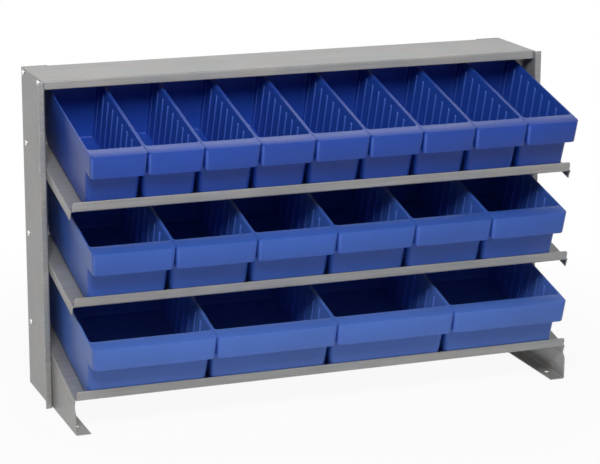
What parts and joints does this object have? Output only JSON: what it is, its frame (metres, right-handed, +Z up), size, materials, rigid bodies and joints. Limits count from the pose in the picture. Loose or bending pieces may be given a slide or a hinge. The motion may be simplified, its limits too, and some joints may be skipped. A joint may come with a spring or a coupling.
{
  "type": "bench rack with drawers",
  "caption": "Open steel bench rack with shelves that slope down to the front, each holding a row of hooded moulded plastic drawers behind a low lip.",
  "frame": {"origin": "centre of the four bench bolt holes in the feet, at bench level", "axes": "+X to the rack's right as seen from the front, +Y to the back, +Z up; the drawers face -Y"},
  "size_m": [0.9144, 0.3603, 0.562],
  "materials": {
    "grey_enamel": "baked grey enamel, satin",
    "blue_polypropylene": "moulded, satin",
    "zinc_fastener": "bright zinc plate"
  },
  "bodies": {
    "rack": {"left_upright": "grey_enamel", "right_upright": "grey_enamel", "top_cover": "grey_enamel", "top_shelf": "grey_enamel", "middle_shelf": "grey_enamel", "bottom_shelf": "grey_enamel", "left_foot": "grey_enamel", "right_foot": "grey_enamel", "shelf_screws": "zinc_fastener", "shelf_nuts": "zinc_fastener", "top_screws": "zinc_fastener", "top_nuts": "zinc_fastener"},
    "drawer_top_1": {"drawer_top_1": "blue_polypropylene"},
    "drawer_top_2": {"drawer_top_2": "blue_polypropylene"},
    "drawer_top_3": {"drawer_top_3": "blue_polypropylene"},
    "drawer_top_4": {"drawer_top_4": "blue_polypropylene"},
    "drawer_top_5": {"drawer_top_5": "blue_polypropylene"},
    "drawer_top_6": {"drawer_top_6": "blue_polypropylene"},
    "drawer_top_7": {"drawer_top_7": "blue_polypropylene"},
    "drawer_top_8": {"drawer_top_8": "blue_polypropylene"},
    "drawer_top_9": {"drawer_top_9": "blue_polypropylene"},
    "drawer_middle_1": {"drawer_middle_1": "blue_polypropylene"},
    "drawer_middle_2": {"drawer_middle_2": "blue_polypropylene"},
    "drawer_middle_3": {"drawer_middle_3": "blue_polypropylene"},
    "drawer_middle_4": {"drawer_middle_4": "blue_polypropylene"},
    "drawer_middle_5": {"drawer_middle_5": "blue_polypropylene"},
    "drawer_middle_6": {"drawer_middle_6": "blue_polypropylene"},
    "drawer_bottom_1": {"drawer_bottom_1": "blue_polypropylene"},
    "drawer_bottom_2": {"drawer_bottom_2": "blue_polypropylene"},
    "drawer_bottom_3": {"drawer_bottom_3": "blue_polypropylene"},
    "drawer_bottom_4": {"drawer_bottom_4": "blue_polypropylene"}
  },
  "joints": [
    {"name": "drawer_top_1_slide", "type": "slide", "parent": "rack", "child": "drawer_top_1", "axis": [0, 0.9715, 0.2368], "range_m": [0, 0.045]},
    {"name": "drawer_top_2_slide", "type": "slide", "parent": "rack", "child": "drawer_top_2", "axis": [0, 0.9715, 0.2368], "range_m": [0, 0.045]},
    {"name": "drawer_top_3_slide", "type": "slide", "parent": "rack", "child": "drawer_top_3", "axis": [0, 0.9715, 0.2368], "range_m": [0, 0.045]},
    {"name": "drawer_top_4_slide", "type": "slide", "parent": "rack", "child": "drawer_top_4", "axis": [0, 0.9715, 0.2368], "range_m": [0, 0.045]},
    {"name": "drawer_top_5_slide", "type": "slide", "parent": "rack", "child": "drawer_top_5", "axis": [0, 0.9715, 0.2368], "range_m": [0, 0.045]},
    {"name": "drawer_top_6_slide", "type": "slide", "parent": "rack", "child": "drawer_top_6", "axis": [0, 0.9715, 0.2368], "range_m": [0, 0.045]},
    {"name": "drawer_top_7_slide", "type": "slide", "parent": "rack", "child": "drawer_top_7", "axis": [0, 0.9715, 0.2368], "range_m": [0, 0.045]},
    {"name": "drawer_top_8_slide", "type": "slide", "parent": "rack", "child": "drawer_top_8", "axis": [0, 0.9715, 0.2368], "range_m": [0, 0.045]},
    {"name": "drawer_top_9_slide", "type": "slide", "parent": "rack", "child": "drawer_top_9", "axis": [0, 0.9715, 0.2368], "range_m": [0, 0.045]},
    {"name": "drawer_middle_1_slide", "type": "slide", "parent": "rack", "child": "drawer_middle_1", "axis": [0, 0.9715, 0.2368], "range_m": [0, 0.045]},
    {"name": "drawer_middle_2_slide", "type": "slide", "parent": "rack", "child": "drawer_middle_2", "axis": [0, 0.9715, 0.2368], "range_m": [0, 0.045]},
    {"name": "drawer_middle_3_slide", "type": "slide", "parent": "rack", "child": "drawer_middle_3", "axis": [0, 0.9715, 0.2368], "range_m": [0, 0.045]},
    {"name": "drawer_middle_4_slide", "type": "slide", "parent": "rack", "child": "drawer_middle_4", "axis": [0, 0.9715, 0.2368], "range_m": [0, 0.045]},
    {"name": "drawer_middle_5_slide", "type": "slide", "parent": "rack", "child": "drawer_middle_5", "axis": [0, 0.9715, 0.2368], "range_m": [0, 0.045]},
    {"name": "drawer_middle_6_slide", "type": "slide", "parent": "rack", "child": "drawer_middle_6", "axis": [0, 0.9715, 0.2368], "range_m": [0, 0.045]},
    {"name": "drawer_bottom_1_slide", "type": "slide", "parent": "rack", "child": "drawer_bottom_1", "axis": [0, 0.9715, 0.2368], "range_m": [0, 0.045]},
    {"name": "drawer_bottom_2_slide", "type": "slide", "parent": "rack", "child": "drawer_bottom_2", "axis": [0, 0.9715, 0.2368], "range_m": [0, 0.045]},
    {"name": "drawer_bottom_3_slide", "type": "slide", "parent": "rack", "child": "drawer_bottom_3", "axis": [0, 0.9715, 0.2368], "range_m": [0, 0.045]},
    {"name": "drawer_bottom_4_slide", "type": "slide", "parent": "rack", "child": "drawer_bottom_4", "axis": [0, 0.9715, 0.2368], "range_m": [0, 0.045]}
  ]
}
